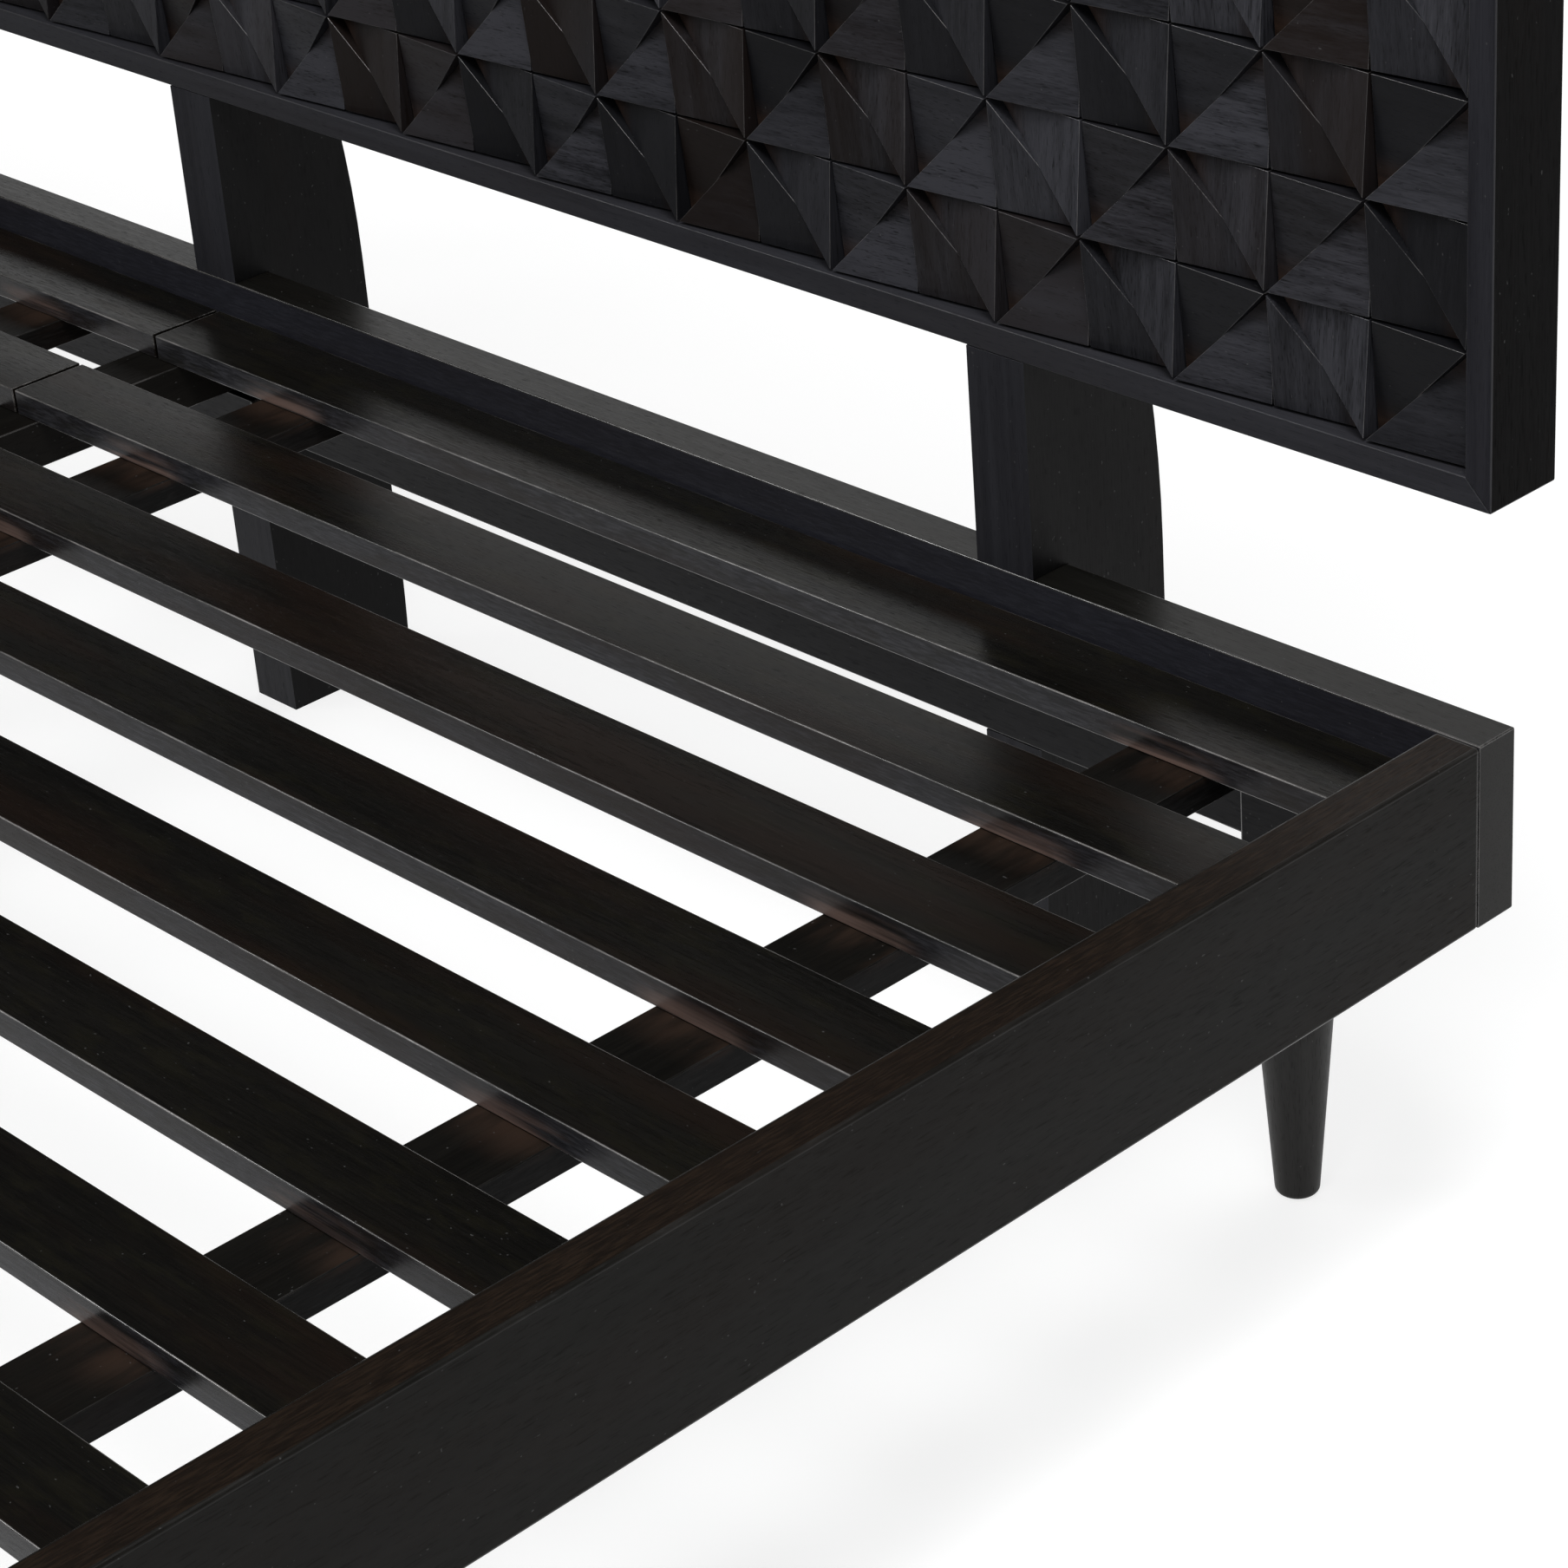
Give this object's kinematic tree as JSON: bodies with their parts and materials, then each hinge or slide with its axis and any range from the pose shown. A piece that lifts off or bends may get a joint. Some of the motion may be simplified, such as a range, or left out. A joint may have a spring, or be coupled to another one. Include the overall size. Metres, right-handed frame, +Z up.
{
  "type": "platform bed",
  "caption": "Low platform bed in black-stained wood: a headboard of carved faceted tiles on curved plank posts, slat decks in a plain rail frame, turned tapered legs.",
  "frame": {"origin": "on the floor, in the middle of the bed's outline seen from above", "axes": "+Z up, +Y towards the headboard, +X to the right of someone looking from the foot towards the headboard"},
  "size_m": [2.0434, 2.177, 1.1357],
  "materials": {
    "rail_wood": "satin ebony stain with fine grain showing through",
    "post_wood": "satin ebony stain with fine grain showing through",
    "carved_wood": "satin ebony stain on carved blocks, slightly uneven",
    "slat_wood": "satin near-black stain with a warm brown cast",
    "beam_wood": "dull near-black stain, rougher sawn surface"
  },
  "bodies": {
    "bed_frame": {"head_rail": "rail_wood", "foot_rail": "rail_wood", "side_rail_right": "rail_wood", "side_rail_left": "rail_wood", "head_post_right": "post_wood", "head_post_centre": "post_wood", "head_post_left": "post_wood", "headboard_bottom_rail": "post_wood", "headboard_top_rail": "post_wood", "headboard_stile_right": "post_wood", "headboard_stile_left": "post_wood", "carved_panel": "carved_wood", "centre_beam": "beam_wood", "centre_leg": "beam_wood", "turned_leg_head_right": "post_wood", "turned_leg_head_left": "post_wood", "turned_leg_foot_right": "post_wood", "turned_leg_foot_left": "post_wood"},
    "deck_right": {"slat_right_01": "slat_wood", "slat_right_02": "slat_wood", "slat_right_03": "slat_wood", "slat_right_04": "slat_wood", "slat_right_05": "slat_wood", "slat_right_06": "slat_wood", "slat_right_07": "slat_wood", "slat_right_08": "slat_wood", "slat_right_09": "slat_wood", "slat_right_10": "slat_wood", "slat_right_11": "slat_wood", "slat_right_12": "slat_wood", "slat_right_13": "slat_wood", "slat_right_14": "slat_wood", "slat_right_15": "slat_wood", "slat_right_16": "slat_wood", "slat_right_17": "slat_wood", "slat_right_18": "slat_wood", "slat_right_19": "slat_wood", "batten_right_outer": "slat_wood", "batten_right_inner": "slat_wood"},
    "deck_left": {"slat_left_01": "slat_wood", "slat_left_02": "slat_wood", "slat_left_03": "slat_wood", "slat_left_04": "slat_wood", "slat_left_05": "slat_wood", "slat_left_06": "slat_wood", "slat_left_07": "slat_wood", "slat_left_08": "slat_wood", "slat_left_09": "slat_wood", "slat_left_10": "slat_wood", "slat_left_11": "slat_wood", "slat_left_12": "slat_wood", "slat_left_13": "slat_wood", "slat_left_14": "slat_wood", "slat_left_15": "slat_wood", "slat_left_16": "slat_wood", "slat_left_17": "slat_wood", "slat_left_18": "slat_wood", "slat_left_19": "slat_wood", "batten_left_outer": "slat_wood", "batten_left_inner": "slat_wood"}
  },
  "joints": [
    {"name": "deck_right_lift", "type": "slide", "parent": "bed_frame", "child": "deck_right", "axis": [0, 0, 1], "range_m": [0, 0.12]},
    {"name": "deck_left_lift", "type": "slide", "parent": "bed_frame", "child": "deck_left", "axis": [0, 0, 1], "range_m": [0, 0.12]}
  ]
}
